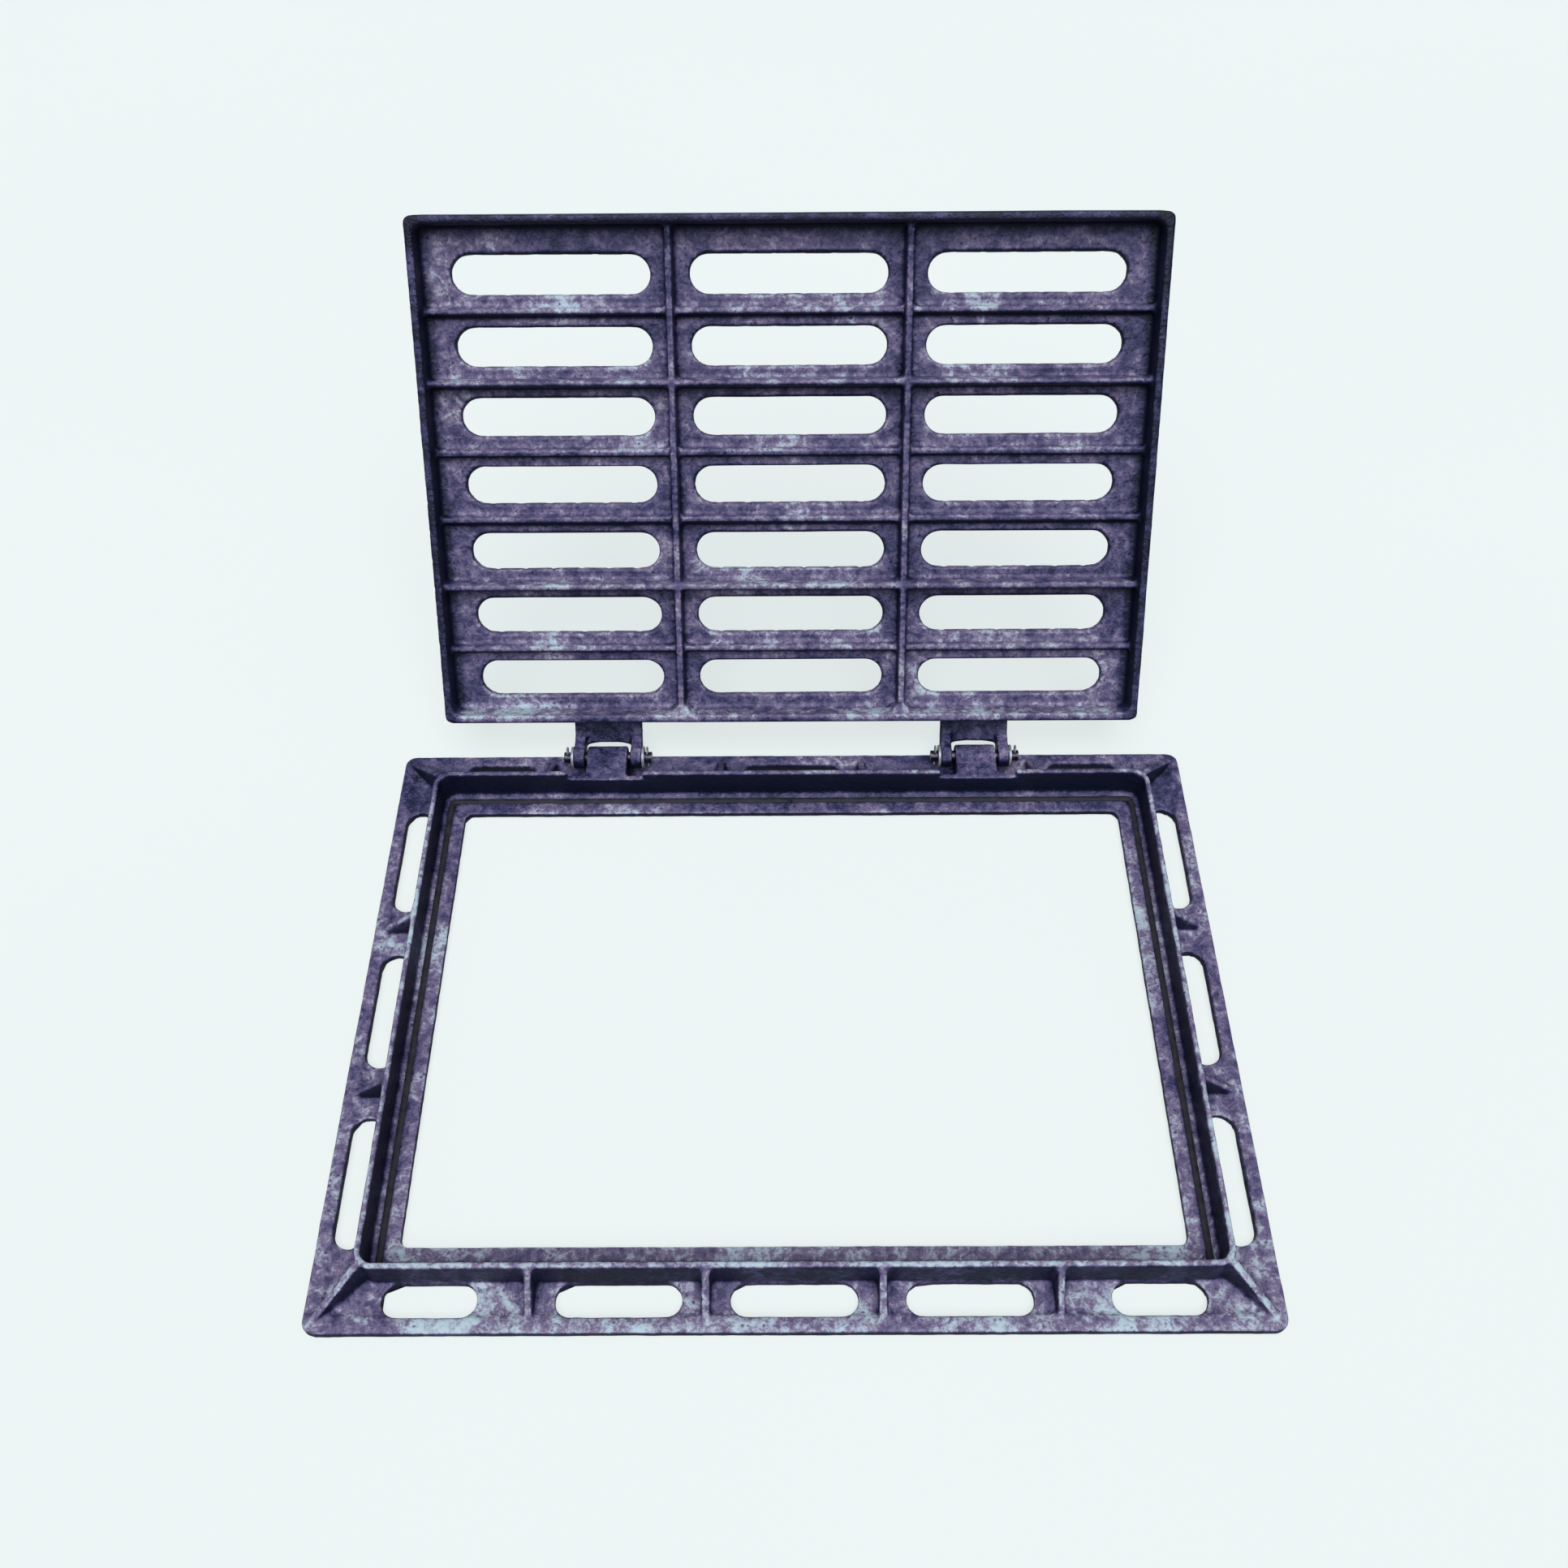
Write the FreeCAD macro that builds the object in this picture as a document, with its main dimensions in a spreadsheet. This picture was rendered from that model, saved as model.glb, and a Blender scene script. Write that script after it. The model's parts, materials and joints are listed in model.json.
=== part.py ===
"""Rectangular cast-iron gully grate, hinged in its frame and standing open.

Millimetres. The origin is the centre of the clear opening, on the underside of the frame's flange: +X runs
along the hinge, +Y towards the hinge and +Z up. The grate is drawn shut, flush with the frame's wall, and its
body's Placement then turns it about the hinge pins to the open stop.
"""
import FreeCAD
import Part
import Sketcher
import math
import os
from FreeCAD import Placement, Rotation, Vector

os.makedirs("parts", exist_ok=True)
doc = FreeCAD.newDocument("GullyGrate")

# ---------------------------------------------------------------------------------------------------------
# Driving dimensions
# ---------------------------------------------------------------------------------------------------------
DIMENSIONS = [
    ("opening_length", 706, "clear opening along X"),
    ("opening_width", 474, "clear opening along Y"),
    ("opening_radius", 8, "corner radius of the clear opening"),
    ("pocket_length", 756, "inside of the upstand wall along X"),
    ("pocket_width", 524, "inside of the upstand wall along Y"),
    ("pocket_radius", 12, "inside corner radius of the wall"),
    ("road_level", 46, "top of the wall and of the shut grate"),
    ("wall_base", 7, "wall thickness at the flange"),
    ("wall_draft", 1.5, "draft of the wall's outer face, degrees"),
    ("seat_level", 9, "top of the ledge that carries the grate"),
    ("flange_length", 856, "base flange along X"),
    ("flange_width", 626, "base flange along Y"),
    ("flange_radius", 12, "flange corner radius"),
    ("floor_level", 9, "top of the flange bays"),
    ("rim_width", 13.5, "raised edge bead of the flange"),
    ("rim_level", 12.5, "top of the edge bead"),
    ("rim_round", 2.5, "rounding of the edge bead"),
    ("rim_inset", 4, "inner corners of the edge bead, tighter than the outer ones"),
    ("anchor_width", 29, "width of the flange slots"),
    ("long_anchor", 112, "length of the middle slots"),
    ("end_anchor", 84, "length of the slots beside the corners"),
    ("side_anchor", 124, "length of the slots in the short sides"),
    ("anchor_step", 154, "spacing of the middle slots"),
    ("end_anchor_x", 320, "distance of the end slots from the centre"),
    ("side_anchor_step", 176, "spacing of the slots in the short sides"),
    ("gusset_thick", 7, "gussets between wall and flange"),
    ("overlap", 1, "how far ribs, gussets and webs run into what carries them"),
    ("gusset_drop", 3, "gusset top below the wall's top"),
    ("gusset_spare", 14, "rear gussets beyond the ends of the hinge pins"),
    ("side_gusset_y", 90, "gussets of the short sides from the centre"),
    ("groove_width", 7, "groove for the cushion cord"),
    ("groove_depth", 3, "depth of that groove"),
    ("groove_inset", 8, "centre of the groove from the wall"),
    ("cushion_gap", 0.1, "play of the cushion cord in its groove"),
    ("cushion_proud", 0.9, "cushion cord above the seat"),
    ("hinge_x", 201, "centre of each hinge"),
    ("pin_y", 300, "pin axis"),
    ("pin_z", 26, "pin axis above the underside"),
    ("pin_radius", 6, "hinge pin"),
    ("pin_play", 0.05, "radial play of the pin in its bores"),
    ("pin_half", 48, "half the pin's length"),
    ("eye_radius", 12.5, "outside of the hinge eyes"),
    ("knuckle_width", 44, "frame's knuckle between the grate's legs"),
    ("notch_half", 41, "half width of the wall's notch at a hinge"),
    ("notch_level", 36.5, "floor of the notch"),
    ("notch_past", 2, "how far the notch's cut runs past the wall"),
    ("leg_inner", 25, "inside of a grate leg from the hinge centre"),
    ("leg_thick", 12, "grate leg"),
    ("leg_clearance", 1.5, "grate leg above the floor of the notch"),
    ("leg_throat", 24, "where the leg turns down to its eye, from the pin axis"),
    ("eye_flank", 12.3, "half the leg's breadth where it meets its eye"),
    ("web_level", 39.5, "underside of the web between two legs, grate shut"),
    ("web_reach", 10, "rear edge of that web from the pin axis"),
    ("web_bow", 3, "hollow of that edge"),
    ("stop_gap", 0.3, "heel of an open leg above the edge bead"),
    ("heel_run", 9, "flat of the heel behind the pin axis"),
    ("root_depth", 3, "how far legs and webs run into the skirt"),
    ("open_angle", 124, "travel from shut to the open stop, degrees"),
    ("grate_length", 750, "grate along X at the road face"),
    ("edge_gap", 3, "gap between the grate's free edge and the wall"),
    ("hinge_gap", 5, "gap between the grate's hinge edge and the wall"),
    ("grate_radius", 9, "grate corner radius"),
    ("grate_draft", 3, "draft of the grate's outer faces, degrees"),
    ("crest_gap", 0.3, "shut grate above the cushion cord"),
    ("plate_thick", 9.5, "slotted plate"),
    ("skirt_thick", 8, "skirt round the plate, at its crest"),
    ("slot_length", 197, "grate slot"),
    ("slot_width", 37, "grate slot"),
    ("slot_draft", 6, "slots widen downwards, degrees"),
    ("column_step", 237, "slot spacing along X"),
    ("row_step", 69, "slot spacing along Y"),
    ("rows_y", 5, "middle of the slot field"),
    ("rib_thick", 6.5, "rib at its crest"),
    ("rib_draft", 3, "rib draft, degrees"),
    ("deep_rib_level", 15, "crest of the deep ribs, grate shut"),
    ("low_rib_level", 26, "crest of the low ribs, grate shut"),
    ("knot_radius", 5.6, "round knots where the deep ribs cross"),
    ("flare_radius", 9, "flares where the long ribs meet the hinge side"),
    ("tread_width", 5, "grooves of the tread"),
    ("tread_depth", 2, "grooves of the tread"),
    ("tread_border", 12, "plain border at the ends of the grooves"),
    ("washer_radius", 12, "hinge washer"),
    ("washer_thick", 2.5, "hinge washer"),
    ("washer_gap", 0.3, "washer beside the grate leg"),
    ("washer_play", 0.5, "radial play of the washer on its pin"),
    ("split_pin_x", 43.5, "split pins from the hinge centre"),
    ("split_hole_radius", 1.8, "hole through the hinge pin for a split pin"),
    ("wire_side", 1.1, "half the side of a split pin's shank"),
    ("split_rise", 1.5, "top of a split pin's shank above the hinge pin"),
    ("split_drop", 1, "where its legs part, below the hinge pin"),
    ("loop_rise", 4.9, "centre of its eye above the hinge pin"),
]

sheet = doc.addObject("Spreadsheet::Sheet", "Dimensions")
for row, (alias, value, note) in enumerate(DIMENSIONS, start=1):
    sheet.set(f"A{row}", note)
    sheet.set(f"B{row}", str(value))
    sheet.setAlias(f"B{row}", alias)
doc.recompute()


def size(formula):
    """Value of a formula written with the sheet's aliases."""
    return float(sheet.evalExpression(formula))


def in_sheet(formula):
    """The same formula for an object outside the sheet, whose aliases need the sheet's name in front."""
    names = sorted((alias for alias, _, _ in DIMENSIONS), key=len, reverse=True)
    for place, alias in enumerate(names):
        formula = formula.replace(alias, f"<{place}>")
    for place, alias in enumerate(names):
        formula = formula.replace(f"<{place}>", f"Dimensions.{alias}")
    return formula


# ---------------------------------------------------------------------------------------------------------
# Sketch helpers: every size is a formula of the sheet
# ---------------------------------------------------------------------------------------------------------
def new_body(name):
    """A body whose Label names its node."""
    body = doc.addObject("PartDesign::Body", name)
    body.Label = name
    return body


def sketch_on(body, name, role, x="0", y="0", z="0", turn=0.0):
    """Sketch on an origin plane of its own body, moved in the plane's own axes and turned about its Y."""
    sketch = body.newObject("Sketcher::SketchObject", name)
    plane = next(feature for feature in body.Origin.OriginFeatures if feature.Role == role)
    sketch.AttachmentSupport = [(plane, "")]
    sketch.MapMode = "FlatFace"
    sketch.AttachmentOffset = Placement(Vector(0, 0, 0), Rotation(Vector(0, 1, 0), turn))
    for axis, formula in (("x", x), ("y", y), ("z", z)):
        sketch.setExpression(f"AttachmentOffset.Base.{axis}", in_sheet(formula))
    return sketch


def drive(sketch, kind, *where, formula):
    """Dimensional constraint bound to a formula."""
    index = sketch.addConstraint(Sketcher.Constraint(kind, *where, size(formula)))
    sketch.setExpression(f"Constraints[{index}]", in_sheet(formula))


def rounded_rectangle(sketch, length, width, radius, centre_y="0"):
    """Rounded rectangle, centred on the sketch's Y axis at the height centre_y."""
    first = sketch.GeometryCount
    corner_x = size(f"({length}) / 2 - ({radius})")
    corner_y = size(f"({width}) / 2 - ({radius})")
    for quarter, (side_x, side_y) in enumerate(((1, 1), (-1, 1), (-1, -1), (1, -1))):
        centre = Vector(side_x * corner_x, side_y * corner_y + size(centre_y), 0)
        round_corner = Part.Circle(centre, Vector(0, 0, 1), size(radius))
        start = math.radians(90 * quarter)
        sketch.addGeometry(Part.ArcOfCircle(round_corner, start, start + math.pi / 2))
    for corner in range(4):
        leaves = sketch.Geometry[first + corner].EndPoint
        arrives = sketch.Geometry[first + (corner + 1) % 4].StartPoint
        side = sketch.addGeometry(Part.LineSegment(leaves, arrives))
        sketch.addConstraint(Sketcher.Constraint("Tangent", first + corner, 2, side, 1))
        sketch.addConstraint(Sketcher.Constraint("Tangent", side, 2, first + (corner + 1) % 4, 1))
        sketch.addConstraint(Sketcher.Constraint("Vertical" if corner % 2 else "Horizontal", side))
        if corner:
            sketch.addConstraint(Sketcher.Constraint("Equal", first, first + corner))
    top, left, bottom, right = (first + 4 + side for side in range(4))
    drive(sketch, "Radius", first, formula=radius)
    drive(sketch, "DistanceX", left, 1, right, 1, formula=length)
    drive(sketch, "DistanceY", bottom, 1, top, 1, formula=width)
    drive(sketch, "DistanceX", -1, 1, right, 1, formula=f"({length}) / 2")
    drive(sketch, "DistanceY", -1, 1, top, 1, formula=f"({width}) / 2 + ({centre_y})")


def obround(sketch, x, y, length, width, along_x=True):
    """Slot with round ends, centred on (x, y)."""
    reach = Vector(size(f"(({length}) - ({width})) / 2"), 0, 0)
    start = 0 if along_x else 90
    reach = Rotation(Vector(0, 0, 1), start).multVec(reach)
    centre = Vector(size(x), size(y), 0)
    ends = []
    for side in (1, -1):
        round_end = Part.Circle(centre + reach * side, Vector(0, 0, 1), size(f"({width}) / 2"))
        low = math.radians(start + (-90 if side > 0 else 90))
        ends.append(sketch.addGeometry(Part.ArcOfCircle(round_end, low, low + math.pi)))
    for here, there in ((ends[0], ends[1]), (ends[1], ends[0])):
        leaves = sketch.Geometry[here].EndPoint
        arrives = sketch.Geometry[there].StartPoint
        edge = sketch.addGeometry(Part.LineSegment(leaves, arrives))
        sketch.addConstraint(Sketcher.Constraint("Tangent", here, 2, edge, 1))
        sketch.addConstraint(Sketcher.Constraint("Tangent", edge, 2, there, 1))
    sketch.addConstraint(Sketcher.Constraint("Horizontal" if along_x else "Vertical", edge))
    drive(sketch, "Radius", ends[0], formula=f"({width}) / 2")
    half = f"(({length}) - ({width})) / 2"
    for end, sign in ((ends[0], "+"), (ends[1], "-")):
        drive(sketch, "DistanceX", -1, 1, end, 3, formula=f"({x}) {sign} ({half})" if along_x else x)
    drive(sketch, "DistanceY", -1, 1, ends[0], 3, formula=y if along_x else f"({y}) + ({half})")
    if not along_x:
        drive(sketch, "DistanceY", -1, 1, ends[1], 3, formula=f"({y}) - ({half})")


def circle(sketch, x, y, radius):
    """Circle about (x, y)."""
    centre = Vector(size(x), size(y), 0)
    index = sketch.addGeometry(Part.Circle(centre, Vector(0, 0, 1), size(radius)))
    drive(sketch, "Radius", index, formula=radius)
    drive(sketch, "DistanceX", -1, 1, index, 3, formula=x)
    drive(sketch, "DistanceY", -1, 1, index, 3, formula=y)


def outline(sketch, corners, bow=None):
    """Closed polygon through corners; bow names one side and the depth by which it curves inwards."""
    points = [Vector(size(x), size(y), 0) for x, y in corners]
    first = sketch.GeometryCount
    for corner, start in enumerate(points):
        end = points[(corner + 1) % len(points)]
        if bow and bow[0] == corner:
            across = (end - start).normalize()
            middle = (start + end) / 2 + Vector(-across.y, across.x, 0) * size(bow[1])
            sketch.addGeometry(Part.Arc(start, middle, end))
        else:
            sketch.addGeometry(Part.LineSegment(start, end))
    for corner, (x, y) in enumerate(corners):
        here = first + corner
        before = first + (corner - 1) % len(corners)
        start_of_here = 1
        end_of_before = 2
        if bow and sketch.Geometry[here].TypeId == "Part::GeomArcOfCircle":
            start_of_here = 1 if sketch.getPoint(here, 1).isEqual(points[corner], 1e-6) else 2
        if bow and sketch.Geometry[before].TypeId == "Part::GeomArcOfCircle":
            end_of_before = 2 if sketch.getPoint(before, 2).isEqual(points[corner], 1e-6) else 1
        sketch.addConstraint(
            Sketcher.Constraint("Coincident", before, end_of_before, here, start_of_here)
        )
        drive(sketch, "DistanceX", -1, 1, here, start_of_here, formula=x)
        drive(sketch, "DistanceY", -1, 1, here, start_of_here, formula=y)


def pad(body, name, sketch, length, draft="0", both_ways=False, reverse=False):
    """Pad of a sketch along its normal."""
    feature = body.newObject("PartDesign::Pad", name)
    feature.Profile = sketch
    feature.SideType = "Symmetric" if both_ways else "One side"
    feature.Reversed = reverse
    feature.setExpression("Length", in_sheet(length))
    feature.setExpression("TaperAngle", in_sheet(draft))
    if both_ways:
        feature.setExpression("TaperAngle2", in_sheet(draft))
    return feature


def pocket(body, name, sketch, length, draft="0", both_ways=False, reverse=False):
    """Pocket of a sketch against its normal, which has to take material away."""
    doc.recompute()
    before = body.Shape.Volume
    feature = body.newObject("PartDesign::Pocket", name)
    feature.Profile = sketch
    feature.SideType = "Symmetric" if both_ways else "One side"
    feature.Reversed = reverse
    feature.setExpression("Length", in_sheet(length))
    feature.setExpression("TaperAngle", in_sheet(draft))
    doc.recompute()
    if not body.Shape.Volume < before - 1:
        raise RuntimeError(f"{name} cuts nothing")
    return feature


def round_edges(body, name, radius, chosen):
    """Fillet of the tip's edges for which chosen(edge) is true."""
    doc.recompute()
    tip = body.Tip
    names = [f"Edge{i}" for i, edge in enumerate(tip.Shape.Edges, start=1) if chosen(edge)]
    if not names:
        raise RuntimeError(f"{name} finds no edge")
    feature = body.newObject("PartDesign::Fillet", name)
    feature.Base = (tip, names)
    feature.setExpression("Radius", in_sheet(radius))
    doc.recompute()
    return feature


def at_level(edge, level):
    """True for an edge that lies flat at a height."""
    box = edge.BoundBox
    return abs(box.ZMin - level) < 0.01 and abs(box.ZMax - level) < 0.01


# ---------------------------------------------------------------------------------------------------------
# Frame: flange, upstand wall, seat, anchor slots, gussets and hinge knuckles, one casting
# ---------------------------------------------------------------------------------------------------------
FLANGE = ("flange_length", "flange_width", "flange_radius")
RIM_INSIDE = ("flange_length - 2 * rim_width", "flange_width - 2 * rim_width", "flange_radius - rim_inset")
WALL_OUTSIDE = (
    "pocket_length + 2 * wall_base",
    "pocket_width + 2 * wall_base",
    "pocket_radius + wall_base",
)
WALL_INSIDE = ("pocket_length", "pocket_width", "pocket_radius")
OPENING = ("opening_length", "opening_width", "opening_radius")

SLOT_Y = "(pocket_width / 2 + wall_base + flange_width / 2 - rim_width) / 2"
SLOT_X = "(pocket_length / 2 + wall_base + flange_length / 2 - rim_width) / 2"

frame = new_body("frame")

flange_sketch = sketch_on(frame, "flange_outline", "XY_Plane")
rounded_rectangle(flange_sketch, *FLANGE)
pad(frame, "flange", flange_sketch, "floor_level")

rim_sketch = sketch_on(frame, "rim_outline", "XY_Plane")
rounded_rectangle(rim_sketch, *FLANGE)
rounded_rectangle(rim_sketch, *RIM_INSIDE)
pad(frame, "rim", rim_sketch, "rim_level")


def on_flange_edge(edge):
    """True for the edges of the bead's top that run round the outside."""
    box = edge.BoundBox
    reach_x = max(-box.XMin, box.XMax)
    reach_y = max(-box.YMin, box.YMax)
    outside_x = reach_x > size("flange_length / 2 - rim_width / 2")
    outside_y = reach_y > size("flange_width / 2 - rim_width / 2")
    return (outside_x or outside_y) and at_level(edge, size("rim_level"))


round_edges(frame, "rim_rounding", "rim_round", on_flange_edge)

wall_sketch = sketch_on(frame, "wall_outline", "XY_Plane")
rounded_rectangle(wall_sketch, *WALL_OUTSIDE)
pad(frame, "wall", wall_sketch, "road_level", draft="-wall_draft")


def gusset(name, reach, role, turn=0.0, **offset):
    """Triangular web from just under the wall's top down to the rim, standing on the flange.

    Its sketch starts at the wall's inner face, and reach is how far it runs from there.
    """
    sketch = sketch_on(frame, name + "_outline", role, turn=turn, **offset)
    outline(
        sketch,
        [
            ("wall_base / 2", "rim_level / 2"),
            (reach, "rim_level / 2"),
            (reach, "rim_level - rim_round / 2"),
            ("wall_base - overlap", "road_level - gusset_drop"),
            ("wall_base / 2", "road_level - gusset_drop"),
        ],
    )
    pad(frame, name, sketch, "gusset_thick", both_ways=True)


HINGE_SIDE_GUSSETS = ["anchor_step / 2", "hinge_x + pin_half + gusset_spare"]
FREE_SIDE_GUSSETS = ["anchor_step / 2", "anchor_step * 3 / 2"]
STRAIGHT_REACH = "(flange_width - pocket_width) / 2 - rim_width / 2"
SIDE_REACH = "(flange_length - pocket_length) / 2 - rim_width / 2"
CORNER_REACH = "(flange_length - pocket_length) / 2 * sqrt(2) - rim_width / 2"

for side, spots in ((1, HINGE_SIDE_GUSSETS), (-1, FREE_SIDE_GUSSETS)):
    for hand in (-1, 1):
        for number, spot in enumerate(spots, start=1):
            gusset(
                f"gusset_{'rear' if side > 0 else 'front'}_{'left' if hand < 0 else 'right'}_{number}",
                STRAIGHT_REACH,
                "YZ_Plane",
                turn=0 if side > 0 else 180,
                x=f"{side} * pocket_width / 2",
                z=f"{hand} * ({spot})",
            )
for hand in (-1, 1):
    for side in (-1, 1):
        gusset(
            f"gusset_side_{'left' if hand < 0 else 'right'}_{'rear' if side > 0 else 'front'}",
            SIDE_REACH,
            "YZ_Plane",
            turn=-90 * hand,
            x=f"{side} * side_gusset_y",
            z=f"{hand} * pocket_length / 2",
        )
        gusset(
            f"gusset_corner_{'left' if hand < 0 else 'right'}_{'rear' if side > 0 else 'front'}",
            CORNER_REACH,
            "YZ_Plane",
            turn=math.degrees(math.atan2(-hand, side)),
            x=f"{side} * pocket_width / 2",
            z=f"{hand} * pocket_length / 2",
        )

# Each knuckle is an eye round the pin on a lug, which stands on the flange behind the wall.
for hand in (-1, 1):
    side = "left" if hand < 0 else "right"
    lug_sketch = sketch_on(frame, f"lug_{side}_outline", "YZ_Plane", z=f"{hand} * hinge_x")
    outline(
        lug_sketch,
        [
            ("pocket_width / 2 + wall_base / 2", "floor_level / 2"),
            ("pin_y + eye_radius / 2", "floor_level / 2"),
            ("pin_y + eye_radius * 3 / 4", "pin_z - eye_radius / 2"),
            ("pin_y", "pin_z + eye_radius"),
            ("pocket_width / 2 + wall_base / 2", "notch_level"),
        ],
    )
    pad(frame, f"lug_{side}", lug_sketch, "knuckle_width", both_ways=True)
    eye_sketch = sketch_on(frame, f"eye_{side}_outline", "YZ_Plane", z=f"{hand} * hinge_x")
    circle(eye_sketch, "pin_y", "pin_z", "eye_radius")
    pad(frame, f"eye_{side}", eye_sketch, "knuckle_width", both_ways=True)

bore_sketch = sketch_on(frame, "knuckle_bore_outline", "YZ_Plane")
circle(bore_sketch, "pin_y", "pin_z", "pin_radius + pin_play")
pocket(frame, "knuckle_bore", bore_sketch, "flange_length", both_ways=True)

pocket_sketch = sketch_on(frame, "grate_pocket_outline", "XY_Plane", z="road_level")
rounded_rectangle(pocket_sketch, *WALL_INSIDE)
pocket(frame, "grate_pocket", pocket_sketch, "road_level - seat_level")

groove_sketch = sketch_on(frame, "cushion_groove_outline", "XY_Plane", z="seat_level")


def groove_line(sketch, outwards):
    """Rounded rectangle at a distance outwards from the centre line of the cushion groove."""
    rounded_rectangle(
        sketch,
        f"pocket_length - 2 * groove_inset + 2 * ({outwards})",
        f"pocket_width - 2 * groove_inset + 2 * ({outwards})",
        f"pocket_radius + ({outwards})",
    )


groove_line(groove_sketch, "groove_width / 2")
groove_line(groove_sketch, "-groove_width / 2")
pocket(frame, "cushion_groove", groove_sketch, "groove_depth")

opening_sketch = sketch_on(frame, "opening_outline", "XY_Plane", z="seat_level")
rounded_rectangle(opening_sketch, *OPENING)
pocket(frame, "opening", opening_sketch, "seat_level")

notch_sketch = sketch_on(frame, "hinge_notch_outline", "XY_Plane", z="road_level")
for hand in (-1, 1):
    outline(
        notch_sketch,
        [
            (f"{hand} * hinge_x - notch_half", "pocket_width / 2 - notch_past"),
            (f"{hand} * hinge_x + notch_half", "pocket_width / 2 - notch_past"),
            (f"{hand} * hinge_x + notch_half", "pocket_width / 2 + wall_base + notch_past"),
            (f"{hand} * hinge_x - notch_half", "pocket_width / 2 + wall_base + notch_past"),
        ],
    )
pocket(frame, "hinge_notches", notch_sketch, "road_level - notch_level")

anchor_sketch = sketch_on(frame, "anchor_slots_outline", "XY_Plane", z="floor_level")
for spot in (-1, 0, 1):
    obround(anchor_sketch, f"{spot} * anchor_step", f"-({SLOT_Y})", "long_anchor", "anchor_width")
obround(anchor_sketch, "0", SLOT_Y, "long_anchor", "anchor_width")
for hand in (-1, 1):
    for side in (-1, 1):
        obround(anchor_sketch, f"{hand} * end_anchor_x", f"{side} * ({SLOT_Y})", "end_anchor", "anchor_width")
    for spot in (-1, 0, 1):
        obround(
            anchor_sketch,
            f"{hand} * ({SLOT_X})",
            f"{spot} * side_anchor_step",
            "side_anchor",
            "anchor_width",
            along_x=False,
        )
pocket(frame, "anchor_slots", anchor_sketch, "floor_level")

# ---------------------------------------------------------------------------------------------------------
# Cushion cord: an elastic ring in the seat's groove, on which the grate's skirt comes down
# ---------------------------------------------------------------------------------------------------------
cushion = new_body("seat_cushion")
cushion_sketch = sketch_on(cushion, "cushion_outline", "XY_Plane", z="seat_level - groove_depth")
groove_line(cushion_sketch, "groove_width / 2 - cushion_gap")
groove_line(cushion_sketch, "-groove_width / 2 + cushion_gap")
pad(cushion, "cushion", cushion_sketch, "groove_depth + cushion_proud")
round_edges(
    cushion,
    "cushion_rounding",
    "cushion_proud",
    lambda edge: at_level(edge, size("seat_level + cushion_proud")),
)

# ---------------------------------------------------------------------------------------------------------
# Grate: slotted plate with a drafted skirt, ribs on its underside and two pairs of hinge legs, one casting
# ---------------------------------------------------------------------------------------------------------
GRATE_WIDTH = "(pocket_width - edge_gap - hinge_gap)"
GRATE_Y = "(edge_gap - hinge_gap) / 2"
CREST_LEVEL = "(seat_level + cushion_proud + crest_gap)"
GRATE_DEPTH = f"(road_level - {CREST_LEVEL})"
PLATE_UNDERSIDE = "(road_level - plate_thick)"
GRATE_HINGE_EDGE = "(pocket_width / 2 - hinge_gap)"

grate = new_body("grate")

block_sketch = sketch_on(grate, "grate_outline", "XY_Plane", z="road_level")
rounded_rectangle(block_sketch, "grate_length", GRATE_WIDTH, "grate_radius", centre_y=GRATE_Y)
pad(grate, "block", block_sketch, GRATE_DEPTH, draft="-grate_draft", reverse=True)

INSET = f"(skirt_thick + {GRATE_DEPTH} * tan(grate_draft * 1deg))"
pan_sketch = sketch_on(grate, "pan_outline", "XY_Plane", z=CREST_LEVEL)
rounded_rectangle(
    pan_sketch,
    f"grate_length - 2 * {INSET}",
    f"{GRATE_WIDTH} - 2 * {INSET}",
    "grate_radius",
    centre_y=GRATE_Y,
)
pocket(
    grate,
    "pan",
    pan_sketch,
    f"{PLATE_UNDERSIDE} - {CREST_LEVEL}",
    draft="-rib_draft",
    reverse=True,
)


def rib(name, x, y, length, width, level):
    """Drafted rib that stands on the plate's underside and reaches down to a level."""
    sketch = sketch_on(grate, name + "_outline", "XY_Plane", z=level)
    outline(
        sketch,
        [
            (f"({x}) - ({length}) / 2", f"({y}) - ({width}) / 2"),
            (f"({x}) + ({length}) / 2", f"({y}) - ({width}) / 2"),
            (f"({x}) + ({length}) / 2", f"({y}) + ({width}) / 2"),
            (f"({x}) - ({length}) / 2", f"({y}) + ({width}) / 2"),
        ],
    )
    pad(grate, name, sketch, f"{PLATE_UNDERSIDE} + overlap - {level}", draft="rib_draft")


RIB_ALONG = "grate_length - 2 * skirt_thick"
RIB_ACROSS = f"({GRATE_WIDTH} - 2 * skirt_thick)"
for hand in (-1, 1):
    side = "left" if hand < 0 else "right"
    rib(f"long_rib_{side}", f"{hand} * column_step / 2", GRATE_Y, "rib_thick", RIB_ACROSS, "deep_rib_level")
DEEP_CROSS_RIBS = (1, 4)
for number in range(6):
    level = "deep_rib_level" if number in DEEP_CROSS_RIBS else "low_rib_level"
    between_rows = f"rows_y + ({number} - 2.5) * row_step"
    rib(f"cross_rib_{number + 1}", "0", between_rows, RIB_ALONG, "rib_thick", level)



def boss(name, x, y, radius):
    """Drafted round boss that strengthens a deep rib where it meets another wall."""
    sketch = sketch_on(grate, name + "_outline", "XY_Plane", z="deep_rib_level")
    circle(sketch, x, y, radius)
    pad(grate, name, sketch, f"{PLATE_UNDERSIDE} + overlap - deep_rib_level", draft="rib_draft")


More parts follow.
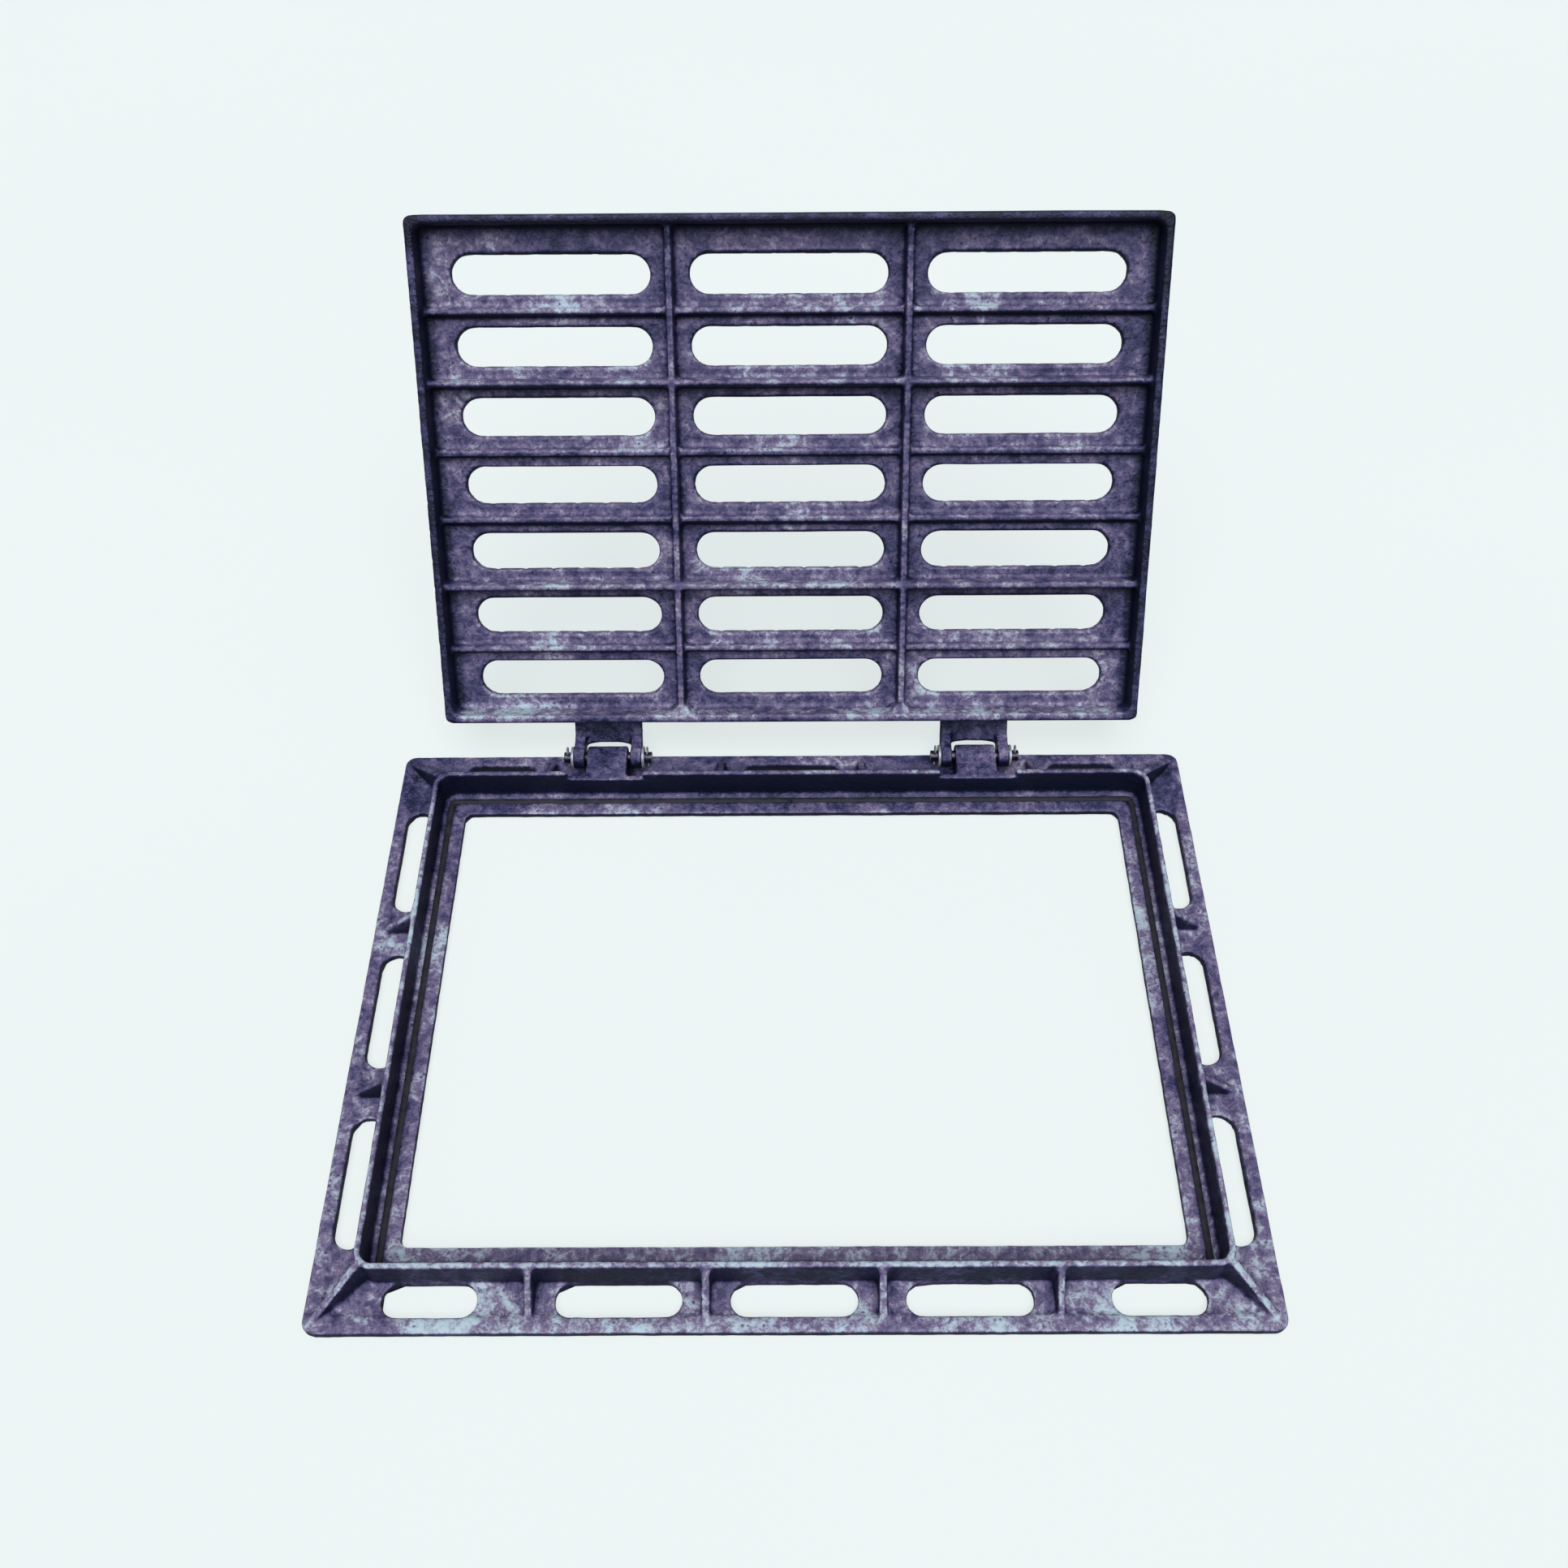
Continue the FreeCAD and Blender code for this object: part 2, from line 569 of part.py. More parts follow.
for hand in (-1, 1):
    side = "left" if hand < 0 else "right"
    rib_x = f"{hand} * column_step / 2"
    for number in DEEP_CROSS_RIBS:
        boss(f"knot_{side}_{number + 1}", rib_x, f"rows_y + ({number} - 2.5) * row_step", "knot_radius")
    boss(f"flare_{side}", rib_x, f"{GRATE_HINGE_EDGE} - {INSET}", "flare_radius")

# One drafted slot, repeated over three columns and seven rows. It is wider below, so that nothing jams in it.
slot_sketch = sketch_on(grate, "slot_outline", "XY_Plane", z="road_level")
obround(slot_sketch, "-column_step", "rows_y - 3 * row_step", "slot_length", "slot_width")
slot = pocket(grate, "slot", slot_sketch, "plate_thick", draft="slot_draft")


def repeat(name, feature, sketch, columns, column_run, rows=1, row_run="0"):
    """Repeats a cut of the grate in columns, and in rows too, and has to take more material away."""
    before = grate.Shape.Volume
    pattern = grate.newObject("PartDesign::LinearPattern", name)
    pattern.Originals = [feature]
    pattern.Direction = (sketch, ["H_Axis"])
    pattern.Occurrences = columns
    pattern.setExpression("Length", in_sheet(column_run))
    if rows > 1:
        pattern.Direction2 = (sketch, ["V_Axis"])
        pattern.Occurrences2 = rows
        pattern.setExpression("Length2", in_sheet(row_run))
    grate.Tip = pattern
    doc.recompute()
    if not grate.Shape.Volume < before - 1:
        raise RuntimeError(f"{name} cut nothing")


repeat("slots", slot, slot_sketch, 3, "2 * column_step", 7, "6 * row_step")

# Grooves across the road face leave rows of raised blocks on its bars, for grip.
TREAD_COLUMNS = 24
TREAD_STEP = "(column_step / 8)"
TREAD_X = f"(-({TREAD_COLUMNS} - 1) / 2 * {TREAD_STEP})"
TREAD_REACH = f"({GRATE_WIDTH} / 2 - tread_border)"
tread_sketch = sketch_on(grate, "tread_outline", "XY_Plane", z="road_level")
outline(
    tread_sketch,
    [
        (f"{TREAD_X} - tread_width / 2", f"{GRATE_Y} - {TREAD_REACH}"),
        (f"{TREAD_X} + tread_width / 2", f"{GRATE_Y} - {TREAD_REACH}"),
        (f"{TREAD_X} + tread_width / 2", f"{GRATE_Y} + {TREAD_REACH}"),
        (f"{TREAD_X} - tread_width / 2", f"{GRATE_Y} + {TREAD_REACH}"),
    ],
)
tread = pocket(grate, "tread", tread_sketch, "tread_depth")
repeat("treads", tread, tread_sketch, TREAD_COLUMNS, f"({TREAD_COLUMNS} - 1) * {TREAD_STEP}")

# The open stop is a flat heel on each leg. It is set out in the open pose, just clear of the rim's top, and
# turned back by the open angle to where it is on the shut grate.
STOP_DROP = "(pin_z - rim_level - stop_gap)"


def shut(along, up):
    """Formulas of a point of the shut leg, given its place from the pin in the open pose."""
    turn = "(open_angle * 1deg)"
    return (
        f"pin_y + ({along}) * cos{turn} - ({up}) * sin{turn}",
        f"pin_z + ({along}) * sin{turn} + ({up}) * cos{turn}",
    )


LEG_OUTLINE = [
    (f"{GRATE_HINGE_EDGE} - root_depth", "notch_level + leg_clearance"),
    ("pin_y - leg_throat", "notch_level + leg_clearance"),
    ("pin_y - eye_flank", "pin_z - overlap"),
    ("pin_y", "pin_z - eye_radius / 3"),
    ("pin_y + eye_flank", "pin_z"),
    shut("0", f"-{STOP_DROP}"),
    shut("heel_run", f"-{STOP_DROP}"),
    ("pin_y + overlap", "road_level"),
    (f"{GRATE_HINGE_EDGE} - root_depth", "road_level"),
]
for hand in (-1, 1):
    for inner in (-1, 1):
        place = f"{'left' if hand < 0 else 'right'}_{1 if inner < 0 else 2}"
        centre = f"{hand} * hinge_x + {inner} * (leg_inner + leg_thick / 2)"
        leg_sketch = sketch_on(grate, f"leg_{place}_outline", "YZ_Plane", z=centre)
        outline(leg_sketch, LEG_OUTLINE)
        pad(grate, f"leg_{place}", leg_sketch, "leg_thick", both_ways=True)
        leg_eye_sketch = sketch_on(grate, f"leg_eye_{place}_outline", "YZ_Plane", z=centre)
        circle(leg_eye_sketch, "pin_y", "pin_z", "eye_radius")
        pad(grate, f"leg_eye_{place}", leg_eye_sketch, "leg_thick", both_ways=True)

# A web with a hollowed rear edge joins each pair of legs at the road face and passes over the wall's notch.
for hand in (-1, 1):
    side = "left" if hand < 0 else "right"
    web_sketch = sketch_on(grate, f"web_{side}_outline", "XY_Plane", z="road_level")
    outline(
        web_sketch,
        [
            (f"{hand} * hinge_x - leg_inner - overlap", f"{GRATE_HINGE_EDGE} - root_depth"),
            (f"{hand} * hinge_x + leg_inner + overlap", f"{GRATE_HINGE_EDGE} - root_depth"),
            (f"{hand} * hinge_x + leg_inner + overlap", "pin_y - web_reach"),
            (f"{hand} * hinge_x - leg_inner - overlap", "pin_y - web_reach"),
        ],
        bow=(2, "web_bow"),
    )
    pad(grate, f"web_{side}", web_sketch, "road_level - web_level", reverse=True)

leg_bore_sketch = sketch_on(grate, "leg_bore_outline", "YZ_Plane")
circle(leg_bore_sketch, "pin_y", "pin_z", "pin_radius + pin_play")
pocket(grate, "leg_bore", leg_bore_sketch, "grate_length", both_ways=True)

pin_axis = Vector(0, size("pin_y"), size("pin_z"))
grate.Placement = Placement(Vector(0, 0, 0), Rotation(Vector(1, 0, 0), -size("open_angle")), pin_axis)

# ---------------------------------------------------------------------------------------------------------
# Hinge hardware: per hinge a plain pin, held at each end by a washer and a split pin
# ---------------------------------------------------------------------------------------------------------
hardware = []
for hand in (-1, 1):
    side = "left" if hand < 0 else "right"
    centre = f"{hand} * hinge_x"

    pin = new_body(f"hinge_pin_{side}")
    pin_sketch = sketch_on(pin, f"pin_{side}_outline", "YZ_Plane", z=centre)
    circle(pin_sketch, "pin_y", "pin_z", "pin_radius")
    pad(pin, f"pin_{side}", pin_sketch, "2 * pin_half", both_ways=True)
    hole_sketch = sketch_on(pin, f"pin_holes_{side}_outline", "XY_Plane", z="pin_z")
    for end in (-1, 1):
        circle(hole_sketch, f"{centre} + {end} * split_pin_x", "pin_y", "split_hole_radius")
    pocket(pin, f"pin_holes_{side}", hole_sketch, "4 * pin_radius", both_ways=True)
    hardware.append(pin)

    for end in (-1, 1):
        name = f"{side}_{'outer' if end == hand else 'inner'}"
        washer = new_body(f"washer_{name}")
        seat = f"{centre} + {end} * (leg_inner + leg_thick + washer_gap + washer_thick / 2)"
        washer_sketch = sketch_on(washer, f"washer_{name}_outline", "YZ_Plane", z=seat)
        for radius in ("washer_radius", "pin_radius + washer_play"):
            circle(washer_sketch, "pin_y", "pin_z", radius)
        pad(washer, f"washer_{name}_disc", washer_sketch, "washer_thick", both_ways=True)
        hardware.append(washer)

        # Split pin: an eye above the pin, a shank through it and two legs bent apart below it.
        split_pin = new_body(f"split_pin_{name}")
        place = f"{centre} + {end} * split_pin_x"
        low = "(pin_z - pin_radius - split_drop)"
        shank_sketch = sketch_on(split_pin, f"split_shank_{name}_outline", "YZ_Plane", z=place)
        outline(
            shank_sketch,
            [
                ("pin_y - wire_side", "pin_z + pin_radius + split_rise"),
                ("pin_y - wire_side", low),
                ("pin_y - 4.5 * wire_side", f"{low} - 2.2 * wire_side"),
                ("pin_y - 3 * wire_side", f"{low} - 3.4 * wire_side"),
                ("pin_y", f"{low} - wire_side"),
                ("pin_y + 3 * wire_side", f"{low} - 3.4 * wire_side"),
                ("pin_y + 4.5 * wire_side", f"{low} - 2.2 * wire_side"),
                ("pin_y + wire_side", low),
                ("pin_y + wire_side", "pin_z + pin_radius + split_rise"),
            ],
        )
        pad(split_pin, f"split_shank_{name}", shank_sketch, "2 * wire_side", both_ways=True)
        loop_sketch = sketch_on(split_pin, f"split_loop_{name}_outline", "YZ_Plane", z=place)
        for radius in ("4 * wire_side", "2 * wire_side"):
            circle(loop_sketch, "pin_y", "pin_z + pin_radius + loop_rise", radius)
        pad(split_pin, f"split_loop_{name}", loop_sketch, "2 * wire_side", both_ways=True)
        hardware.append(split_pin)

# ---------------------------------------------------------------------------------------------------------
# Check and export
# ---------------------------------------------------------------------------------------------------------
doc.recompute()
for thing in doc.Objects:
    if {"Invalid", "Error"} & set(thing.State):
        raise RuntimeError(f"{thing.Name} failed: {thing.State}")

for node in [frame, grate, cushion, *hardware]:
    shape = node.Shape
    if shape.isNull() or not shape.isValid():
        raise RuntimeError(f"{node.Label} has no valid shape")
    shape.exportStep(f"parts/{node.Label}.step")
    print(f"{node.Label}: {shape.Volume / 1000:.1f} cm3, centre {shape.CenterOfGravity}")
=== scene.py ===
"""A rectangular cast-iron gully grate, hinged in its flanged frame and standing open.

The castings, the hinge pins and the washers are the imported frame's own shapes. This script gives them their
surface and finish, makes the seat's rubber cord and the split pins' bent wire in place of their plain solids,
and sets the floor, the light and the camera.
Units are metres, in the frame's own axes: +X along the hinge, +Y towards it, +Z up.
"""

import json
from math import cos, pi, radians, sin

import bmesh
import bpy
from mathutils import Matrix, Vector


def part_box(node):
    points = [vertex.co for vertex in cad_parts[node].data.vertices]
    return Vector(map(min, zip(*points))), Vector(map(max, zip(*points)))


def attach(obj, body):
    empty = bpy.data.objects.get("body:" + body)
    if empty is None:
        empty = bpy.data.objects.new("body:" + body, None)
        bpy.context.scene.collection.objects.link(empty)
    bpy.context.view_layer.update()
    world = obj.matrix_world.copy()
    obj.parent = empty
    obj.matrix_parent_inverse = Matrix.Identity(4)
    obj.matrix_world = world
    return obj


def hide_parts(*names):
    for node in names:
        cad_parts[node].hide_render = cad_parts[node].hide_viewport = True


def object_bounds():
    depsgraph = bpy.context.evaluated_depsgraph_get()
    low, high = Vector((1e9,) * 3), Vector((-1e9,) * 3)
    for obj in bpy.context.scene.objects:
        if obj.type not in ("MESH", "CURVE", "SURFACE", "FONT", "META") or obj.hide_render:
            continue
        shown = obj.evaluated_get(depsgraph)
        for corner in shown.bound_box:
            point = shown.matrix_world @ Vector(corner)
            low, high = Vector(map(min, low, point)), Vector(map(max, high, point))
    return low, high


# Sand-cast surface of the two castings.
CASTING_VOXEL = 0.0021
CASTING_FLATNESS = 0.12
CASTING_SMOOTHING = 0.5
CASTING_SMOOTHINGS = 2
CASTING_KEPT = {"frame": 1.0, "grate": 0.4}  # share of the fine mesh's faces that is kept
CASTING_WAVES = (0.030, 0.0007)  # size and height of the slow waviness
CASTING_LUMPS = (0.0075, 0.0004)  # size and height of the sand's lumps

# Where the castings are lighter or darker: (axis, start, end, change of tone).
FRAME_PLACES = [
    ("Y", -0.18, -0.29, 0.10),  # the front strip, which wheels and feet polish
    ("Y", 0.205, 0.262, -0.17),  # the rear strip, painted darker as the shadow of the open grate
]
GRATE_PLACES = [
    ("X", 0.352, 0.364, -0.34),  # the skirt's crest, painted darker as shade
    ("X", -0.352, -0.364, -0.34),
    ("Z", 0.462, 0.482, -0.34),
    ("Z", 0.070, 0.045, -0.18),  # the hinge legs, painted darker as shade
]
GRATE_POLISH = 0.55  # how much paler traffic has polished the grate's road face

BROKEN_EDGE = 0.00025  # width of the bevel on the edges of pins and washers

# The camera, which looks down across the frame from in front of it.
CAMERA_PLACE = Vector((-0.0027, -0.6844, 1.3174))
CAMERA_PITCH = 0.938
CAMERA_TURN = 0.0056
CAMERA_ROLL = -0.0093
CAMERA_LENS = 33.90
CAMERA_SENSOR = 36.0

# The rubber cord of the seat: a D in section, laid in its groove and cut once, at the back.
CORD_WIDTH = 0.0068
CORD_CORNER = 0.0074  # outside corner radius of the ring
CORD_FOOT = 0.0004  # rounding of the D's two lower corners
CORD_SHOULDER = 0.0016  # height at which its dome begins
CORD_CUT = 0.0006  # gap between the cord's two ends
CORD_DIP = 0.0003  # how far the crown dips where the grate has pressed it
CORD_DIP_LENGTH = 0.055
CORD_STEP = 0.006
CORD_ARC_STEPS = 8
CORD_DOME_STEPS = 8

# Split pins of round wire: an eye above the hinge pin and two legs spread below it.
WIRE_RADIUS = 0.00095
WIRE_HALF_PAIR = 0.0009  # centre of each leg from the middle of the pair
EYE_RADIUS = 0.0033
EYE_NECK = 0.0075  # where the eye closes to the pair, from the top of the pin
LEG_SPREAD = 0.0041
LEG_PART = 0.0052  # where the legs part, from the lowest point of the pin

# The studio: a round sweep of paper, a broad light from above and in front, and weak light from all round.
SWEEP_FLAT = 4.5
SWEEP_BEND = 3.0
SWEEP_BEND_STEPS = 12
SWEEP_SEGMENTS = 96
SWEEP_WALL = 3.0
FLOOR_GAP = 0.0005
PAPER_GLOW = (0.66, 0.71, 0.71)
KEY_STRENGTH = 3.0
KEY_SPREAD = 0.9
KEY_TILT = 0.42  # from overhead towards the front
WORLD_COLOUR = (0.86, 0.93, 1.0)
WORLD_STRENGTH = 0.25


# ---------------------------------------------------------------- node helpers


class Nodes:
    """One material's node tree, with short calls for the nodes that the finishes share."""

    def __init__(self, name):
        self.material = bpy.data.materials.new(name)
        self.material.use_nodes = True
        self.tree = self.material.node_tree
        self.shader = self.tree.nodes["Principled BSDF"]
        places = self.tree.nodes.new("ShaderNodeTexCoord").outputs
        self.coordinates = places["Object"]
        self.normals = places["Normal"]

    def join(self, value, socket):
        """Links an output to an input, or sets the input to a plain value."""
        if isinstance(value, bpy.types.NodeSocket):
            self.tree.links.new(value, socket)
        else:
            socket.default_value = value

    def noise(self, size, detail, roughness, distortion=0.0, stretch=(1.0, 1.0, 1.0), offset=0.0):
        """Noise from 0 to 1 whose features are about size metres."""
        mapping = self.tree.nodes.new("ShaderNodeMapping")
        mapping.inputs["Location"].default_value = (offset, offset, offset)
        mapping.inputs["Scale"].default_value = stretch
        self.join(self.coordinates, mapping.inputs["Vector"])
        node = self.tree.nodes.new("ShaderNodeTexNoise")
        node.inputs["Scale"].default_value = 1.0 / size
        node.inputs["Detail"].default_value = detail
        node.inputs["Roughness"].default_value = roughness
        node.inputs["Distortion"].default_value = distortion
        self.join(mapping.outputs["Vector"], node.inputs["Vector"])
        return node.outputs["Fac"]

    def cells(self, size):
        """Distance to the nearest of scattered points about size metres apart."""
        node = self.tree.nodes.new("ShaderNodeTexVoronoi")
        node.inputs["Scale"].default_value = 1.0 / size
        self.join(self.coordinates, node.inputs["Vector"])
        return node.outputs["Distance"]

    def math(self, operation, first, second=0.0):
        node = self.tree.nodes.new("ShaderNodeMath")
        node.operation = operation
        self.join(first, node.inputs[0])
        self.join(second, node.inputs[1])
        return node.outputs["Value"]

    def sum(self, first, *others):
        for other in others:
            first = self.math("ADD", first, other)
        return first

    def span(self, value, low, high, to_low=0.0, to_high=1.0):
        """Maps low..high to to_low..to_high with soft ends."""
        node = self.tree.nodes.new("ShaderNodeMapRange")
        node.interpolation_type = "SMOOTHSTEP"
        self.join(value, node.inputs["Value"])
        for name, limit in (("From Min", low), ("From Max", high), ("To Min", to_low), ("To Max", to_high)):
            node.inputs[name].default_value = limit
        return node.outputs["Result"]

    def ramp(self, value, stops):
        """A colour ramp from (place, colour) stops."""
        node = self.tree.nodes.new("ShaderNodeValToRGB")
        elements = node.color_ramp.elements
        while len(elements) < len(stops):
            elements.new(0.5)
        for element, (place, colour) in zip(elements, stops):
            element.position = place
            element.color = (*colour, 1.0)
        self.join(value, node.inputs["Fac"])
        return node.outputs["Color"]

    def mix(self, share, first, second):
        """Mixes two colours by share."""
        node = self.tree.nodes.new("ShaderNodeMix")
        node.data_type = "RGBA"
        self.join(share, node.inputs["Factor"])
        for value, socket in ((first, node.inputs["A"]), (second, node.inputs["B"])):
            plain = value if isinstance(value, bpy.types.NodeSocket) else (*value, 1.0)
            self.join(plain, socket)
        return next(output for output in node.outputs if output.type == "RGBA")

    def facing(self, direction):
        """1 where the resting part's surface faces along direction, and -1 where it faces away."""
        node = self.tree.nodes.new("ShaderNodeVectorMath")
        node.operation = "DOT_PRODUCT"
        self.join(self.normals, node.inputs[0])
        node.inputs[1].default_value = direction
        return node.outputs["Value"]

    def along(self, axis):
        """Metres along one axis of the frame."""
        node = self.tree.nodes.new("ShaderNodeSeparateXYZ")
        self.join(self.coordinates, node.inputs[0])
        return node.outputs[axis]

    def pointiness(self):
        """About 0.5 on flats, more on edges and less in corners."""
        return self.tree.nodes.new("ShaderNodeNewGeometry").outputs["Pointiness"]

    def shelter(self, reach):
        """From 0 deep in a corner to 1 in the open."""
        node = self.tree.nodes.new("ShaderNodeAmbientOcclusion")
        node.samples = 8
        node.only_local = True
        node.inputs["Distance"].default_value = reach
        return node.outputs["AO"]

    def bump(self, height, depth, strength, normal=None):
        """Relief of the given depth in metres, on top of normal where there is one."""
        node = self.tree.nodes.new("ShaderNodeBump")
        node.inputs["Distance"].default_value = depth
        node.inputs["Strength"].default_value = strength
        self.join(height, node.inputs["Height"])
        if normal is not None:
            self.join(normal, node.inputs["Normal"])
        return node.outputs["Normal"]

    def finish(self, colour, roughness, normal, metallic=0.0, specular=0.5):
        """Sets the shader and returns the material."""
        self.join(colour, self.shader.inputs["Base Color"])
        self.join(roughness, self.shader.inputs["Roughness"])
        self.join(normal, self.shader.inputs["Normal"])
        self.shader.inputs["Metallic"].default_value = metallic
        self.shader.inputs["Specular IOR Level"].default_value = specular
        return self.material


# ------------------------------------------------------------------- materials


def iron_coat(n, tone):
    """The dip coat's colours, from soot black, which also serves the painted shade, through violet to the
    pale dust of worn places.
    """
    return n.ramp(
        tone,
        [
            (0.00, (0.003, 0.005, 0.022)),
            (0.22, (0.009, 0.012, 0.044)),
            (0.42, (0.046, 0.044, 0.125)),
            (0.58, (0.104, 0.091, 0.192)),
            (0.72, (0.190, 0.155, 0.260)),
            (0.86, (0.330, 0.370, 0.480)),
            (1.00, (0.440, 0.560, 0.640)),
        ],
    )


def cast_iron(name, places, road, polish):
    """Sand-cast iron under a violet-black dip coat: dust lies on what faces up, and edges are worn pale;
    painted shade darkens sides, undersides, creases, corners and some listed places.

    places holds (axis, start, end, change): the tone changes from start to end along that axis.
    Faces that look along road are worn paler by polish.
    """
    n = Nodes(name)
    grain = n.noise(0.0022, 5.0, 0.65)
    lumps = n.noise(0.0075, 4.0, 0.6, 0.6)
    blotches = n.noise(0.030, 4.0, 0.6, 1.0)
    drifts = n.noise(0.120, 3.0, 0.5, 0.4, offset=3.1)
    pits = n.cells(0.0062)

    # Each share moves the tone from its middle, which is plain coat.
    mottle = n.sum(n.span(lumps, 0.30, 0.70, -0.15, 0.15), n.span(blotches, 0.32, 0.68, -0.13, 0.13))
    speckle = n.span(grain, 0.30, 0.70, -0.08, 0.08)
    patch = n.span(drifts, 0.42, 0.68, -0.05, 0.17)
    # Paler dust on faces that look up, and painted shade that darkens faces looking sideways or down.
    dust = n.span(n.facing((0.0, 0.0, 1.0)), -0.30, 0.85, -0.58, 0.18)
    # Tone by listed places; the darkenings among them are painted shade.
    by_place = 0.0
    for axis, start, end, change in places:
        by_place = n.sum(by_place, n.span(n.along(axis), start, end, 0.0, change))
    worn = n.span(n.facing(road), 0.70, 0.97, 0.0, polish)
    edge = n.span(n.pointiness(), 0.515, 0.60, 0.0, 0.30)
    # Painted shade: darker in concave creases, found by pointiness.
    painted_crease_shade = n.span(n.pointiness(), 0.42, 0.488, -0.40, 0.0)
    # Painted shade: darker in corners, found by ambient occlusion within 30 mm.
    corner = n.span(n.shelter(0.030), 0.15, 0.75, -0.36, 0.0)
    pit = n.math("MULTIPLY", n.span(pits, 0.10, 0.30, -0.25, 0.0), n.span(blotches, 0.45, 0.62))
    tone = n.sum(0.48, mottle, speckle, patch, dust, by_place, worn, edge, painted_crease_shade, corner, pit)
    colour = iron_coat(n, tone)

    roughness = n.sum(n.span(tone, 0.2, 0.9, 0.40, 0.66), n.span(grain, 0.3, 0.7, -0.06, 0.06))
    rough_skin = n.bump(lumps, 0.0018, 0.9)
    pitted = n.bump(n.span(pits, 0.05, 0.35), 0.0007, 0.6, rough_skin)
    skin = n.bump(grain, 0.0008, 0.9, pitted)
    return n.finish(colour, roughness, skin, specular=0.30)


def pin_steel():
    """Turned steel, worn bright on the ends and blackened with old grease along its length."""
    n = Nodes("hinge_pin_steel")
    rings = n.noise(0.0009, 3.0, 0.6, stretch=(1.0, 0.15, 0.15))
    bloom = n.noise(0.005, 4.0, 0.6)
    ends = n.span(n.math("ABSOLUTE", n.facing((1.0, 0.0, 0.0))), 0.60, 0.95)
    sides = n.ramp(bloom, [(0.35, (0.020, 0.018, 0.035)), (0.65, (0.085, 0.080, 0.115))])
    bright = n.ramp(bloom, [(0.30, (0.45, 0.47, 0.52)), (0.60, (0.78, 0.80, 0.84))])
    colour = n.mix(ends, sides, bright)
    roughness = n.sum(n.span(bloom, 0.3, 0.7, 0.30, 0.46), n.span(rings, 0.3, 0.7, -0.06, 0.06))
    return n.finish(colour, roughness, n.bump(rings, 0.00010, 0.6), metallic=0.9)


def washer_steel():
    """Pressed washers and split pins under the same black dip, with zinc showing where it has rubbed off."""
    n = Nodes("dipped_zinc")
    scratches = n.noise(0.0010, 3.0, 0.6)
    bloom = n.noise(0.004, 4.0, 0.6, 0.5)
    rubbed = n.sum(n.span(bloom, 0.50, 0.68), n.span(n.pointiness(), 0.51, 0.58, 0.0, 0.8))
    dipped = n.ramp(scratches, [(0.35, (0.022, 0.020, 0.048)), (0.65, (0.070, 0.062, 0.115))])
    colour = n.mix(n.math("MINIMUM", rubbed, 1.0), dipped, (0.34, 0.36, 0.42))
    roughness = n.span(bloom, 0.3, 0.7, 0.34, 0.55)
    return n.finish(colour, roughness, n.bump(scratches, 0.00012, 0.7), metallic=0.35)


def cushion_rubber():
    """Matt black extruded rubber with road dust in its pores and faint lines along the cord."""
    n = Nodes("cushion_rubber")
    dust = n.noise(0.010, 5.0, 0.6)
    skin = n.noise(0.0009, 3.0, 0.6)
    colour = n.ramp(dust, [(0.35, (0.010, 0.010, 0.018)), (0.70, (0.036, 0.034, 0.050))])
    pores = n.bump(skin, 0.00018, 0.8)
    return n.finish(colour, n.span(dust, 0.3, 0.7, 0.62, 0.85), pores, specular=0.30)


def studio_paper():
    """Pale matt studio paper that glows a little, so that shadows on it stay faint."""
    n = Nodes("studio_paper")
    shade = n.noise(0.9, 2.0, 0.5)
    colour = n.ramp(shade, [(0.3, (0.170, 0.182, 0.182)), (0.7, (0.176, 0.187, 0.187))])
    n.shader.inputs["Emission Color"].default_value = (*PAPER_GLOW, 1.0)
    n.shader.inputs["Emission Strength"].default_value = 1.0
    return n.finish(colour, 0.95, n.bump(n.noise(0.004, 2.0, 0.5), 0.0002, 0.2), specular=0.0)


# ---------------------------------------------------------------------- pieces


def texture(name, size):
    """Soft clouds about size metres across, for a displacement."""
    made = bpy.data.textures.new(name, "CLOUDS")
    made.noise_scale = size
    made.noise_depth = 2
    return made


def cast_surface(node, kept):
    """Gives a casting soft edges and the slight waviness and lumps that a sand mould leaves."""
    remesh = node.modifiers.new("sand_mould", "REMESH")
    remesh.mode = "VOXEL"
    remesh.voxel_size = CASTING_VOXEL
    remesh.adaptivity = CASTING_FLATNESS * CASTING_VOXEL
    remesh.use_smooth_shade = True
    smooth = node.modifiers.new("soft_edges", "SMOOTH")
    smooth.factor = CASTING_SMOOTHING
    smooth.iterations = CASTING_SMOOTHINGS
    thin = node.modifiers.new("fewer_faces", "DECIMATE")
    thin.ratio = kept
    for name, (size, height) in (("waves", CASTING_WAVES), ("lumps", CASTING_LUMPS)):
        displace = node.modifiers.new(name, "DISPLACE")
        displace.texture = texture(f"{node.name}_{name}", size)
        displace.texture_coords = "LOCAL"
        displace.mid_level = 0.5
        displace.strength = height


def give(node, material):
    """Puts one material in all of a node's slots."""
    if not node.material_slots:
        node.data.materials.append(material)
    for slot in node.material_slots:
        slot.material = material


def break_edges(node):
    """Breaks the edges of small turned parts and keeps their flats flat."""
    bevel = node.modifiers.new("broken_edges", "BEVEL")
    bevel.width = BROKEN_EDGE
    bevel.segments = 2
    bevel.limit_method = "ANGLE"
    bevel.harden_normals = True


def new_piece(name, data, material, body, cad_node):
    """Makes a piece that stands for a CAD node and moves with its body."""
    data.materials.append(material)
    data.polygons.foreach_set("use_smooth", [True] * len(data.polygons))
    piece = bpy.data.objects.new(name, data)
    bpy.context.scene.collection.objects.link(piece)
    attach(piece, body)
    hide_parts(cad_node)


